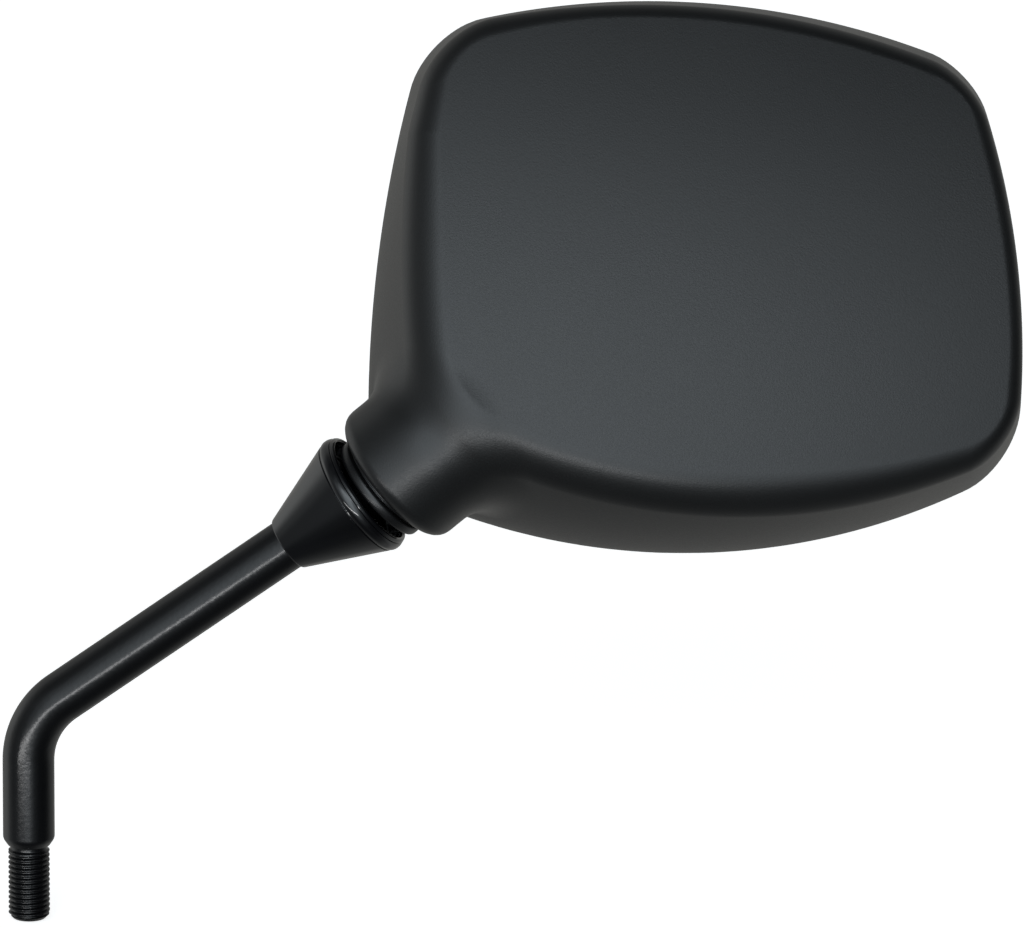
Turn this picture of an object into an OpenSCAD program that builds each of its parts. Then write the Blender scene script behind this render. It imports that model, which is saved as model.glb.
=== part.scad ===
// Motorcycle mirror: a bent steel arm, a cone collar and a moulded head that turns on a ball joint.
// Z runs up the threaded stem, X runs towards the head, and the glass faces +Y.
// Lengths are in millimetres and angles in degrees.

/* [Stem and arm] */
// Diameter of the steel rod
rod_d = 12.5; // [11:0.1:14]
// Major diameter of the stem's thread
thread_d = 10; // [8:0.5:10.5]
// Length of the thread
thread_len = 17; // [12:0.5:30]
// Width of the relief groove between thread and shoulder
relief_w = 1.4; // [1:0.1:3]
// Length of the taper from the rod to the shoulder
shoulder_taper = 1.7; // [1:0.1:6]
// Height of the bend's corner above the top of the thread
stem_h = 32.7; // [24:0.1:60]
// Radius of the bend at the rod's middle
bend_r = 20; // [14:0.5:26]
// Rise of the upper arm above the horizontal
arm_rise = 36.1; // [25:0.1:50]
// Turn of the upper arm about the stem
arm_turn = -6.5; // [-20:0.1:10]
// Length from the bend's corner to the centre of the ball
arm_len = 119.5; // [100:0.5:180]

/* [Cone collar] */
// Length of the collar
collar_len = 24.2; // [20:0.1:32]
// Outer diameter at the collar's small end
collar_small_d = 13.9; // [13.6:0.1:15]
// Outer diameter at the collar's rim
collar_rim_d = 30.9; // [28:0.1:34]
// Wall of the collar
collar_wall = 1.8; // [1.2:0.1:2.4]
// Length of the collar's bore on the rod
collar_land = 8; // [7:0.1:10]
// Length of the rolled lip at the collar's rim
lip_len = 4.2; // [3:0.1:6]
// Gap between the collar's rim and the neck seal, with both in line
collar_gap = 1; // [0.9:0.1:3]

/* [Ball joint] */
// Diameter of the ball
ball_d = 18; // [17:0.1:18.6]
// Diameter of the rod's journal inside the ball
journal_d = 7; // [6:0.1:7.4]
// Diameter of the rod's waist in front of the ball
waist_d = 8.6; // [8.2:0.1:9]
// Distance from the ball's centre to the end of the full rod
rod_stop = 13.2; // [13:0.1:15]
// Distance from the ball's centre to the neck's end face
neck_reach = 12; // [11.6:0.1:12.6]
// Bore of the socket tube
socket_bore_d = 21.6; // [21.4:0.1:22]
// Wall of the socket tube
socket_wall = 2.6; // [2:0.1:2.8]
// Thickness of the neck's end wall
end_wall = 3.4; // [3:0.1:3.6]
// Thickness of one disc spring
disc_t = 1; // [0.6:0.1:1.2]
// Cone height of one disc spring
disc_cone = 0.6; // [0.4:0.1:0.8]
// Number of disc springs
disc_count = 2; // [1:1:3]
// Thickness of the clamp plate
clamp_t = 2.5; // [2:0.1:3]
// Gap between a ball and its seat, or a shaft and its bore
run_gap = 0.06; // [0.02:0.01:0.1]

/* [Head] */
// Angle of the neck in the rim's plane
neck_turn = 39.2; // [34:0.1:44]
// Lift of the neck from the rim's plane
neck_lift = 14.5; // [8:0.1:18]
// Angle between the rim's plane and the upright
head_pitch = 16; // [10:0.5:22]
// Place of the ball across the head, from the head's middle
ball_across = -64.8; // [-67:0.1:-62]
// Place of the ball up the head, from the head's middle
ball_up = -38.6; // [-40:0.1:-37]
// Depth of the ball behind the rim's plane
ball_depth = 22; // [21:0.1:23]
// Reach of the head's left side from its middle, seen from the back
left_reach = 78.9; // [76:0.1:82]
// Reach of the head's right side from its middle
right_reach = 78.4; // [74:0.1:84]
// Height of the head's top above its middle
top_height = 69.5; // [66:0.1:74]
// Depth of the head's bottom below its middle
bottom_height = 63.3; // [61:0.1:66]
// Radius of the left side
left_bow = 310; // [260:5:400]
// Radius of the right side
right_bow = 193; // [170:1:260]
// Radius of the top side
top_bow = 191; // [170:1:240]
// Radius of the bottom side
bottom_bow = 160; // [140:1:200]
// Rounding of the top left corner
top_left_r = 11.7; // [9:0.1:16]
// Rounding of the top right corner
top_right_r = 7.7; // [7:0.1:14]
// Rounding of the bottom right corner
bottom_right_r = 10.5; // [8:0.1:16]
// Rounding of the corner that carries the neck
neck_corner_r = 16; // [14:0.5:20]
// Depth of the housing at its middle
depth = 37; // [35:0.5:40]
// Wall of the housing
wall = 2.4; // [2:0.1:2.8]
// Radius of the soft edge between the near sides and the back
crease_r = 8; // [5:0.5:10]
// Radius of the same edge where it runs out at the far sides
far_crease_r = 3; // [2.8:0.1:5]
// Diameter of the neck
neck_d = 36.8; // [36:0.1:38]
// Rounding of the neck's end
neck_round = 4; // [2:0.1:4.2]
// Blend between the neck and the housing
neck_blend = 9; // [6:0.5:12]

/* [Neck seal] */
// Outer diameter of the seal
seal_d = 27; // [25:0.1:28]
// How far the seal stands out of the neck
seal_proud = 4; // [3.4:0.1:4.2]
// Bore of the seal
seal_bore_d = 18.4; // [18:0.1:19]

/* [Glass] */
// Radius of the convex glass
glass_r = 1400; // [1000:50:2000]
// Thickness of the glass
glass_t = 2.5; // [2:0.1:3]
// Depth of the glass at its middle, from the rim's plane
glass_set = 0.9; // [0.6:0.1:1.5]
// Thickness of the gasket round the glass
gasket_t = 1.2; // [0.8:0.1:1.6]
// Width of the gasket's lips over the glass
gasket_lip = 1.6; // [1:0.1:2.5]
// Thickness of the adhesive pad
pad_t = 1; // [0.5:0.1:1.5]
// Thickness of the glass carrier
carrier_t = 2; // [1.6:0.1:2.4]

/* [Fasteners] */
// Thread diameter of the carrier's screws
carrier_screw_d = 3; // [2.5:0.1:3.5]
// Thread diameter of the clamp plate's screws
clamp_screw_d = 2.5; // [2:0.1:2.6]
// Thread diameter of the screw that holds the ball
ball_screw_d = 4; // [3.5:0.1:4.2]

/* [Hidden] */
$fn = 96;

plastic = [0.28, 0.28, 0.29];
black_steel = [0.12, 0.12, 0.13];
gloss_black = [0.09, 0.09, 0.10];
rubber = [0.16, 0.16, 0.16];
zinc = [0.72, 0.72, 0.70];
acetal = [0.85, 0.84, 0.80];
brass = [0.78, 0.62, 0.32];
silvered = [0.80, 0.84, 0.88];

// Arm
rod_r = rod_d / 2;
thread_r = thread_d / 2;
relief_r = thread_r - 0.6;
thread_chamfer = 1;
shoulder_z = relief_w;
bend_angle = 90 - arm_rise;
bend_run = bend_r * tan(bend_angle / 2);
waist_r = waist_d / 2;
journal_r = journal_d / 2;
washer_t = 0.8;

// Ball, seen along the arm from its centre, with the stem at minus
ball_r = ball_d / 2;
ball_front = ball_r - 1.1;
ball_back = ball_r - 1.4;
web_start = 3;
web_end = web_start + 2.2;
journal_end = web_start - 0.4;
ball_screw_r = ball_screw_d / 2;
screw_head_r = ball_screw_r * 1.9;
screw_head_h = screw_head_r - ball_screw_r;

// Cone collar, seen along the arm from its small end
collar_r0 = collar_small_d / 2;
collar_r1 = collar_rim_d / 2;
collar_bore = rod_r + run_gap;
collar_from_ball = neck_reach + seal_proud + collar_gap + collar_len;
mouth_r = collar_r1 - collar_wall;
ring_w = 1.6;
ring_deep = 1.1;
ring_z = collar_land - ring_w - 1.8;
snap_t = 1;
snap_deep = 0.55;
snap_r = rod_r + 1.3;

// Neck and socket, seen along the neck from its end face
neck_r = neck_d / 2;
neck_flare = 0.3;
neck_land = 13;
core_end = 4.4;
neck_root = 33;
neck_sink = 0.01;
socket_r = socket_bore_d / 2;
tube_r = socket_r + socket_wall;
seal_r = seal_d / 2;
seal_bore = seal_bore_d / 2;
seal_plug = 1.6;
seal_plug_r = seal_bore + 1.8;
seat_open = ball_r - 2.6;
seat_end = 1.2;
cup_back = ball_r + 1.4;
disc_h = disc_t + disc_cone;
stack_h = disc_count * (disc_h + run_gap);
clamp_z = neck_reach + cup_back + 2 * run_gap + stack_h;
clamp_hole = 5;
clamp_screw_r = clamp_screw_d / 2;
insert_r = clamp_screw_r + 1;
insert_barb = 0.5;
insert_len = 5;
clamp_pitch = socket_r + insert_r + 1.1;
clamp_lobe = clamp_screw_r + 2.1;
clamp_boss_len = 14;
disc_hole = 6.2;

// Outline of the rim, as four bowed sides in the head's own frame
ball_at = [ball_across, ball_up, ball_depth];
neck_dir = [cos(neck_lift) * cos(neck_turn), cos(neck_lift) * sin(neck_turn), sin(neck_lift)];
left_c = [left_bow - left_reach, -30.4];
right_c = [right_reach - right_bow, -14.7];
top_c = [-11.6, top_height - top_bow];
bottom_c = [-3.1, bottom_bow - bottom_height];
flank_power = 1.4;
rim_chamfer = 0.8;

// Glass and what carries it
gasket_gap = 0.4;
pocket_in = wall + 0.2;
seat_gap = 0.3;
glass_edge_w = 6;
gasket_out = wall + gasket_gap;
glass_in = gasket_out + gasket_t;
lip_t = 0.7;
pad_in = glass_in + 4;
carrier_in = glass_in + 0.4;
pad_w = glass_set + glass_t;
carrier_w = pad_w + pad_t;
carrier_back = carrier_w + carrier_t;
boss_at = [[46, 34], [-40, 38], [50, -34], [-22, -36]];
boss_r = carrier_screw_d / 2 + 2.4;
boss_pilot = carrier_screw_d / 2 - 0.1;
boss_hole_len = 9;
ear_rise = 1.6;
head_sink = 1.7;
rib_t = 1.8;

// A smooth least, and a greatest with a round edge of radius r
function blend_min(a, b, k) = min(a, b) - pow(max(k - abs(a - b), 0) / k, 2) * k / 4;
function round_max(a, b, r) = min(max(a, b), -r) + norm([max(a + r, 0), max(b + r, 0)]);
function arc_field(p, c, r) = norm([p[0] - c[0], p[1] - c[1]]) - r;

// How far each side leans in by the time it reaches the back
function left_lean(v) = max(9.2 - 0.165 * v, 3);
function bottom_lean(u) = max(12.1 - 0.11 * u, 3);
function top_lean(u) = max(1.6 + 0.012 * u, 0.8);
right_lean = 0.6;

// Height of the back above the rim's plane: deepest by the neck, shallow at the far top corner
function back_height(u, v) = depth - 0.1 * u - 0.13 * v - u * u / 1300 - pow(v + 10, 2) / 900;

function side_field(p) =
  let (
    rise = pow(max(p[2], 0) / back_height(p[0], p[1]), flank_power),
    across = max(arc_field(p, left_c, left_bow) + left_lean(p[1]) * rise,
                 arc_field(p, right_c, right_bow) + right_lean * rise),
    up = max(arc_field(p, top_c, top_bow) + top_lean(p[0]) * rise,
             arc_field(p, bottom_c, bottom_bow) + bottom_lean(p[0]) * rise),
    r = p[1] < 0 ? (p[0] < 0 ? neck_corner_r : bottom_right_r) : (p[0] < 0 ? top_left_r : top_right_r)
  )
  round_max(across, up, r);

// The edge is soft along the left and the bottom, and crisp along the top and the right
function edge_r(u, v) =
  let (t = min(max((40 - 0.62 * u - 0.78 * v) / 70, 0), 1))
  far_crease_r + (crease_r - far_crease_r) * t * t * (3 - 2 * t);

function body_field(p) = round_max(side_field(p), p[2] - back_height(p[0], p[1]), edge_r(p[0], p[1]));

function neck_along(p) = (p - ball_at) * neck_dir + neck_reach;
function neck_field(p) =
  let (
    q = p - ball_at,
    along = neck_along(p),
    out = norm(q - (q * neck_dir) * neck_dir) + neck_sink * pow(max(along - neck_reach, 0), 2)
  )
  round_max(round_max(out - neck_r + 0.1, 0.3 - along, neck_round), along - neck_root, 8);

// The blend fades out towards the neck's end, so that nothing reaches its mouth
function blend_at(p) = let (t = min(max(neck_along(p) / 14, 0), 1)) 1 + (neck_blend - 1) * t * t * (3 - 2 * t);
function outer_field(p) = blend_min(body_field(p), neck_field(p), blend_at(p));

// Where rays start: the head's middle, drawn towards the ball for rays near the neck
neck_az = atan2(ball_up, ball_across) + 360;
function near_neck(a) = let (t = min(max((85 - abs(a - neck_az)) / 50, 0), 1)) t * t * (3 - 2 * t);
function ray_start(a) = 0.8 * near_neck(a) * [ball_across, ball_up];
function ray_end(a, r) = ray_start(a) + r * [cos(a), sin(a)];

// Distance along a level ray, or height above a place, at which the surface is met
function level_root(a, w, level, outer, r0, r1, n = 20) =
  n == 0 ? (r0 + r1) / 2
  : let (m = (r0 + r1) / 2, q = ray_end(a, m), p = [q[0], q[1], w], f = outer ? outer_field(p) : body_field(p))
    f < level ? level_root(a, w, level, outer, m, r1, n - 1) : level_root(a, w, level, outer, r0, m, n - 1);
function height_root(q, level, outer, w0, w1, n = 20) =
  n == 0 ? (w0 + w1) / 2
  : let (m = (w0 + w1) / 2, p = [q[0], q[1], m], f = outer ? outer_field(p) : body_field(p))
    f < level ? height_root(q, level, outer, m, w1, n - 1) : height_root(q, level, outer, w0, m, n - 1);

// Distance along a ray to the side alone at the height w, or to the edge where side and back would meet
function side_root(a, w, level, r0 = 0, r1 = 110, n = 22) =
  n == 0 ? (r0 + r1) / 2
  : let (m = (r0 + r1) / 2, q = ray_end(a, m))
    side_field([q[0], q[1], w]) < level ? side_root(a, w, level, m, r1, n - 1)
    : side_root(a, w, level, r0, m, n - 1);
function edge_root(a, level, r0 = 0, r1 = 110, n = 22) =
  n == 0 ? (r0 + r1) / 2
  : let (m = (r0 + r1) / 2, q = ray_end(a, m))
    side_field([q[0], q[1], back_height(q[0], q[1]) + level]) < level ? edge_root(a, level, m, r1, n - 1)
    : edge_root(a, level, r0, m, n - 1);

// Outline of the inside of the rim, or of what fits in it
function outline(w, inset) = [for (a = az) ray_end(a, side_root(a, w, -inset))];

// Angles round the head, closer together at the corners and towards the neck
function span(a0, a1, n) = [for (i = [0:n - 1]) a0 + (a1 - a0) * i / n];
az = concat(
  span(0, 30, 6), span(30, 50, 8), span(50, 125, 15), span(125, 150, 10),
  span(150, 174, 5), span(174, 252, 26), span(252, 318, 13), span(318, 342, 10), span(342, 360, 4)
);
flank_steps = [0.04, 0.08, 0.12, 0.17, 0.24, 0.34, 0.46, 0.6, 0.76, 0.9];
back_steps = [1, 0.965, 0.925, 0.87, 0.78, 0.62, 0.42, 0.2];
inner_flank_steps = [0.2, 0.4, 0.6, 0.8, 0.92];
inner_back_steps = [0.97, 0.88, 0.65, 0.33];

// One ring of the shell for each step up the flank, then across the back
function shell_rings(level, outer, flank, back) =
  let (
    edge = [for (a = az) ray_end(a, edge_root(a, level))],
    top = [for (q = edge) back_height(q[0], q[1]) + level]
  )
  concat(
    [for (f = flank) [for (i = [0:len(az) - 1])
      let (w = top[i] * f, q = ray_end(az[i], level_root(az[i], w, level, outer, 0, 110))) [q[0], q[1], w]]],
    [for (g = back) [for (q = edge) [g * q[0], g * q[1], height_root(g * q, level, outer, 4, 70)]]]
  );
function flat_ring(w, inset) = [for (a = az) let (q = ray_end(a, side_root(a, w, -inset))) [q[0], q[1], w]];
function backwards(list) = [for (i = [len(list) - 1:-1:0]) list[i]];

// A closed surface through rings of equal length, with a point at each end
module ringed(rings, first, last) {
  n = len(rings[0]);
  m = len(rings);
  points = concat([first], [for (r = rings) each r], [last]);
  function at(i, j) = 1 + i * n + j % n;
  faces = concat(
    [for (j = [0:n - 1]) [0, at(0, j), at(0, j + 1)]],
    [for (i = [0:m - 2], j = [0:n - 1]) each [
      [at(i, j), at(i + 1, j), at(i + 1, j + 1)],
      [at(i, j), at(i + 1, j + 1), at(i, j + 1)]
    ]],
    [for (j = [0:n - 1]) [1 + m * n, at(m - 1, j + 1), at(m - 1, j)]]
  );
  polyhedron(points = points, faces = faces);
}

// Points of an arc from the angle a0 to a1, for profiles
function arc(cx, cy, r, a0, a1, n = 4) =
  [for (i = [0:n]) let (a = a0 + (a1 - a0) * i / n) [cx + r * cos(a), cy + r * sin(a)]];

// Frames: the arm's bend plane, its upper length, the ball, the head and the neck
module in_arm_plane() {
  rotate([0, 0, arm_turn]) children();
}
module along_arm(z = 0) {
  in_arm_plane() translate([0, 0, stem_h]) rotate([0, bend_angle, 0]) translate([0, 0, z]) children();
}
module at_ball() {
  along_arm(arm_len) children();
}
module ball_upright() {
  in_arm_plane()
    translate([sin(bend_angle) * arm_len, 0, stem_h + cos(bend_angle) * arm_len])
      rotate([0, 0, -arm_turn]) children();
}
module in_head() {
  ball_upright() rotate([90 - head_pitch, 0, 0]) translate(-ball_at) children();
}
// The neck's frame starts at its end face, with z going into the head
module in_neck() {
  translate(ball_at) rotate([0, 90 - neck_lift, neck_turn]) translate([0, 0, -neck_reach]) children();
}
module at_neck() {
  in_head() in_neck() children();
}

// Arm: threaded stem, relief groove, shoulder, bend, upper rod, waist and journal
module arm_rod() {
  bend_lap = 2;
  color(black_steel) {
    difference() {
      union() {
        rotate_extrude() polygon([
          [0, -thread_len], [thread_r - thread_chamfer, -thread_len],
          [thread_r, thread_chamfer - thread_len], [thread_r, 0], [relief_r, 0.3 * relief_w],
          [relief_r, shoulder_z], [thread_r + 0.1, shoulder_z], [rod_r, shoulder_z + shoulder_taper],
          [rod_r, stem_h - bend_run], [0, stem_h - bend_run]
        ]);
        in_arm_plane() translate([bend_r, 0, stem_h - bend_run]) rotate([90, 0, 0])
          rotate_extrude(angle = bend_angle + 2 * bend_lap, start = 180 - bend_angle - bend_lap)
            translate([bend_r, 0]) circle(d = rod_d - 0.1);
        along_arm() rotate_extrude() polygon(upper_profile());
      }
      at_ball() translate([0, 0, journal_end - 8]) cylinder(r = ball_screw_r, h = 10);
    }
  }
}

// Half section of the upper rod, from the bend's end to the journal's end
function upper_profile() =
  let (
    groove = arm_len - collar_from_ball + collar_land + run_gap,
    full_end = arm_len - rod_stop,
    waist_end = arm_len - ball_front - 2 * run_gap - washer_t
  )
  [
    [0, bend_run], [rod_r, bend_run], [rod_r, groove], [rod_r - snap_deep, groove],
    [rod_r - snap_deep, groove + snap_t + run_gap], [rod_r, groove + snap_t + run_gap],
    [rod_r, full_end - 0.6], [rod_r - 0.6, full_end], [waist_r, full_end], [waist_r, waist_end],
    [journal_r, waist_end], [journal_r, arm_len + journal_end], [0, arm_len + journal_end]
  ];

// Plain washer that the front of the ball turns on
module thrust_washer() {
  color(acetal) along_arm(arm_len - ball_front - run_gap - washer_t) difference() {
    cylinder(r = waist_r + 0.9, h = washer_t);
    translate([0, 0, -1]) cylinder(r = journal_r + run_gap, h = washer_t + 2);
  }
}

// Hollow moulded cone with a rolled lip, and a groove in its bore for the O-ring
module cone_collar() {
  slope_end = collar_len - lip_len;
  edge = 1.4;
  color(gloss_black) along_arm(arm_len - collar_from_ball) rotate_extrude() polygon(concat(
    [[collar_bore, 0], [collar_r0 - 0.2, 0], [collar_r0, 0.2]],
    [[collar_r1 - 0.35, slope_end], [collar_r1, slope_end + 1]],
    arc(collar_r1 - edge, collar_len - edge, edge, 0, 90),
    [[mouth_r, collar_len], [mouth_r - 0.1, slope_end], [mouth_r - 0.5, slope_end - 0.4]],
    [[snap_r + 0.8, collar_land + 0.4], [snap_r + 0.4, collar_land], [collar_bore, collar_land]],
    [[collar_bore, ring_z + ring_w], [collar_bore + ring_deep, ring_z + ring_w]],
    [[collar_bore + ring_deep, ring_z], [collar_bore, ring_z]]
  ));
}

module collar_o_ring() {
  section = ring_deep / 2;
  color(rubber) along_arm(arm_len - collar_from_ball + ring_z + ring_w / 2)
    rotate_extrude() translate([collar_bore + section, 0]) circle(r = section, $fn = 32);
}

// Open ring in the rod's groove, which keeps the collar from sliding up
module collar_snap_ring() {
  gap_angle = 40;
  color(zinc) along_arm(arm_len - collar_from_ball + collar_land + run_gap)
    rotate_extrude(angle = 360 - gap_angle, start = gap_angle / 2)
      translate([rod_r - snap_deep, 0]) square([snap_r - rod_r + snap_deep, snap_t]);
}

// Countersunk screw with a hexagon socket, sunk in the back of the ball
module ball_screw() {
  head_z = ball_back - 0.5;
  key_r = 1.45;
  color(zinc) at_ball() difference() {
    rotate_extrude() polygon([
      [0, journal_end - 7.5], [ball_screw_r - run_gap, journal_end - 7.5],
      [ball_screw_r - run_gap, head_z - screw_head_h], [screw_head_r, head_z - 0.3],
      [screw_head_r, head_z], [0, head_z]
    ]);
    translate([0, 0, head_z - 1.4]) cylinder(r = key_r, h = 2, $fn = 6);
  }
}

// Ball with flats front and back, bored for the journal and countersunk for its screw
module ball() {
  head_z = ball_back - 0.5;
  gap = 2 * run_gap;
  color(zinc) at_ball() difference() {
    sphere(r = ball_r);
    translate([0, 0, -ball_front - ball_r]) cylinder(r = ball_r, h = ball_r);
    translate([0, 0, ball_back]) cylinder(r = ball_r, h = ball_r);
    rotate_extrude() polygon([
      [0, -ball_r], [journal_r + run_gap, -ball_r], [journal_r + run_gap, web_start],
      [ball_screw_r + gap, web_start], [ball_screw_r + gap, head_z - screw_head_h - gap],
      [screw_head_r + gap, head_z - 0.3 - gap], [screw_head_r + gap, ball_r], [0, ball_r]
    ]);
  }
}

// Front half of the socket, on the neck's end wall
module socket_seat() {
  length = neck_reach - end_wall - run_gap - seat_end;
  color(acetal) at_neck() translate([0, 0, end_wall + run_gap]) difference() {
    cylinder(r = socket_r - run_gap, h = length);
    translate([0, 0, neck_reach - end_wall - run_gap]) sphere(r = ball_r + run_gap);
    translate([0, 0, -1]) cylinder(r = seat_open, h = length);
    translate([0, 0, -0.01]) cylinder(r1 = seat_open + 1.2, r2 = seat_open, h = 1.2);
  }
}

// Back half of the socket, pushed on the ball by the disc springs
module pressure_cup() {
  color(acetal) at_neck() translate([0, 0, neck_reach]) difference() {
    rotate_extrude() polygon([
      [0, seat_end], [socket_r - run_gap, seat_end], [socket_r - run_gap, cup_back - 0.5],
      [socket_r - run_gap - 0.5, cup_back], [0, cup_back]
    ]);
    sphere(r = ball_r + run_gap);
    cylinder(r = 1.5, h = cup_back + 1);
  }
}

// Stack of disc springs, turned to and fro
module disc_springs() {
  outer_r = socket_r - 0.3;
  color(zinc) at_neck() for (i = [0:disc_count - 1]) {
    flip = i % 2;
    translate([0, 0, neck_reach + cup_back + run_gap + i * (disc_h + run_gap)])
      rotate_extrude() polygon([
        [disc_hole, flip * disc_cone], [outer_r, (1 - flip) * disc_cone],
        [outer_r, (1 - flip) * disc_cone + disc_t], [disc_hole, flip * disc_cone + disc_t]
      ]);
  }
}

// Places of the clamp plate's two screws beside the socket tube
module at_clamp_screws() {
  for (side = [-1, 1])
    translate([0, side * clamp_pitch, 0]) children();
}

// Pressed plate with two lobes that closes the socket tube
module clamp_plate() {
  color(zinc) at_neck() translate([0, 0, clamp_z]) difference() {
    union() {
      cylinder(r = tube_r, h = clamp_t);
      at_clamp_screws() cylinder(r = clamp_lobe, h = clamp_t);
    }
    translate([0, 0, -1]) cylinder(r = clamp_hole, h = clamp_t + 2);
    at_clamp_screws() translate([0, 0, -1]) cylinder(r = clamp_screw_r + 0.2, h = clamp_t + 2);
  }
}

// Pan-head screws of the clamp plate
module clamp_screws() {
  head_r = 1.9 * clamp_screw_r;
  head_h = 1.3 * clamp_screw_r;
  color(zinc) at_neck() translate([0, 0, clamp_z + clamp_t]) at_clamp_screws() difference() {
    rotate_extrude() polygon(concat(
      [[0, -clamp_t - insert_len + 0.5], [clamp_screw_r - run_gap, -clamp_t - insert_len + 0.5]],
      [[clamp_screw_r - run_gap, 0], [head_r, 0]],
      arc(head_r - 0.8, head_h - 0.8, 0.8, 0, 90, 3), [[0, head_h]]
    ));
    translate([0, 0, head_h - 1]) cylinder(r = 0.55 * clamp_screw_r * 2, h = 2, $fn = 6);
  }
}

// Brass inserts for those screws, in the bosses beside the socket tube
module threaded_inserts() {
  color(brass) at_neck() translate([0, 0, clamp_z - insert_len]) at_clamp_screws() difference() {
    cylinder(r = insert_r - run_gap, h = insert_len - run_gap);
    translate([0, 0, -1]) cylinder(r = clamp_screw_r, h = insert_len + 2);
  }
  color(brass) at_neck() translate([0, 0, clamp_z - insert_len / 2]) at_clamp_screws() difference() {
    cylinder(r = insert_r + insert_barb - run_gap, h = 1);
    translate([0, 0, -1]) cylinder(r = insert_r - 0.4, h = 3);
  }
}

// Half section of the neck and its socket tube
function neck_profile() = concat(
  [[seal_plug_r, seal_plug], [seal_plug_r, 0]],
  arc(neck_r - neck_round, neck_round, neck_round, -90, 0, 6),
  [[neck_r + neck_flare, neck_land], [neck_r - wall + 0.5, neck_land], [neck_r - wall + 0.5, core_end]],
  [[tube_r, core_end], [tube_r, clamp_z], [socket_r, clamp_z], [socket_r, end_wall], [seat_open + 0.5, end_wall], [seal_bore, seal_plug]]
);

// Wall that follows the inside of the back between two points of the rim's plane
module back_rib(a, b, low) {
  run = b - a;
  length = norm(run);
  steps = 6;
  top = [for (i = [0:steps]) let (p = a + run * i / steps)
    [length * i / steps, back_height(p[0], p[1]) - 0.7 * wall]];
  translate([a[0], a[1], 0]) rotate([0, 0, atan2(run[1], run[0])])
    translate([0, rib_t / 2, 0]) rotate([90, 0, 0]) linear_extrude(height = rib_t)
      polygon(concat([[0, low], [length, low]], backwards(top)));
}

// Depth of the carrier's back under a boss, from the rim's plane
function boss_foot(p) = carrier_back + p * p / (2 * glass_r) + ear_rise;

// Moulded shell with its neck, socket tube, bosses and ribs
module housing() {
  outer = shell_rings(0, true, flank_steps, back_steps);
  inner = shell_rings(-wall, true, inner_flank_steps, inner_back_steps);
  rings = concat(
    backwards(concat([flat_ring(0, wall)], inner)),
    [flat_ring(0, rim_chamfer), flat_ring(rim_chamfer, 0)],
    outer
  );
  socket_at = ball_at + (clamp_z - neck_reach - 5) * neck_dir;
  tube_end = [socket_at[0], socket_at[1]];
  color(plastic) in_head() difference() {
    union() {
      ringed(rings, [0, 0, back_height(0, 0) - wall], [0, 0, back_height(0, 0)]);
      in_neck() {
        rotate_extrude() polygon(neck_profile());
        difference() {
          at_clamp_screws() translate([0, 0, clamp_z - clamp_boss_len])
            cylinder(r = clamp_lobe, h = clamp_boss_len);
          cylinder(r = tube_r - 0.5, h = clamp_z + 1);
        }
      }
      for (p = boss_at) {
        translate([p[0], p[1], boss_foot(p)])
          cylinder(r = boss_r, h = back_height(p[0], p[1]) - 0.4 * wall - boss_foot(p));
        back_rib(p - [boss_r + 5, 0], p + [boss_r + 5, 0], boss_foot(p) + 6);
      }
      back_rib(boss_at[1], boss_at[0], boss_foot(boss_at[0]) + 7);
      back_rib(tube_end + 9 * [cos(8), sin(8)], boss_at[2] - [0.5, 0], boss_foot(boss_at[2]) + 9.3);
    }
    in_neck() {
      translate([0, 0, -1]) cylinder(r = seal_plug_r, h = seal_plug + 1);
      rotate_extrude() polygon([
        [0, -1], [seal_bore, -1], [seal_bore, seal_plug], [seat_open + 0.5, end_wall],
        [socket_r, end_wall], [socket_r, clamp_z + 1], [0, clamp_z + 1]
      ]);
      at_clamp_screws() rotate_extrude() polygon([
        [0, clamp_z - insert_len - 2], [insert_r, clamp_z - insert_len - 2],
        [insert_r, clamp_z - insert_len / 2 - run_gap],
        [insert_r + insert_barb, clamp_z - insert_len / 2 - run_gap],
        [insert_r + insert_barb, clamp_z - insert_len / 2 + 1 + run_gap],
        [insert_r, clamp_z - insert_len / 2 + 1 + run_gap], [insert_r, clamp_z + 0.5], [0, clamp_z + 0.5]
      ]);
      translate([0, 0, clamp_z]) {
        cylinder(r = tube_r + 0.3, h = clamp_t + 0.6);
        at_clamp_screws() cylinder(r = clamp_lobe + 0.3, h = clamp_t + 2.4);
      }
    }
    for (p = boss_at)
      translate([p[0], p[1], boss_foot(p) - 1]) cylinder(r = boss_pilot, h = boss_hole_len + 1);
    layer(-4, 4 + carrier_w + seat_gap, pocket_in);
  }
}

// Rubber ring in the neck's mouth: a round bead that shows beside the collar, a groove and a thin flange
module neck_seal() {
  edge = 0.9;
  groove = [-1.4, -0.8];
  color(rubber) at_neck() rotate_extrude() polygon(concat(
    [[seal_bore, seal_plug - 0.1], [seal_bore, 0.3 - seal_proud], [seal_bore + 0.3, -seal_proud]],
    arc(seal_r - edge, edge - seal_proud, edge, -90, 0),
    arc(seal_r - edge, groove[0] - edge, edge, 0, 90),
    [[seal_r - 1.7, groove[0]], [seal_r - 1.7, groove[1]], [seal_r - 0.5, groove[1]], [seal_r - 0.2, groove[1] + 0.3]],
    [[seal_r - 0.2, 0], [seal_plug_r - run_gap, 0], [seal_plug_r - run_gap, seal_plug - 0.1]]
  ));
}

// Solid between two surfaces that are parallel to the convex glass, from the depth w
module curved_layer(w, t, reach = 96) {
  steps = 12;
  under = [for (i = [0:steps]) let (x = reach * i / steps) [x, w + x * x / (2 * glass_r)]];
  rotate_extrude() polygon(concat(under, [for (p = backwards(under)) p + [0, t]]));
}
module layer(w, t, inset) {
  intersection() {
    linear_extrude(height = 40, convexity = 4) polygon(outline(glass_edge_w, inset));
    curved_layer(w, t);
  }
}

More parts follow.
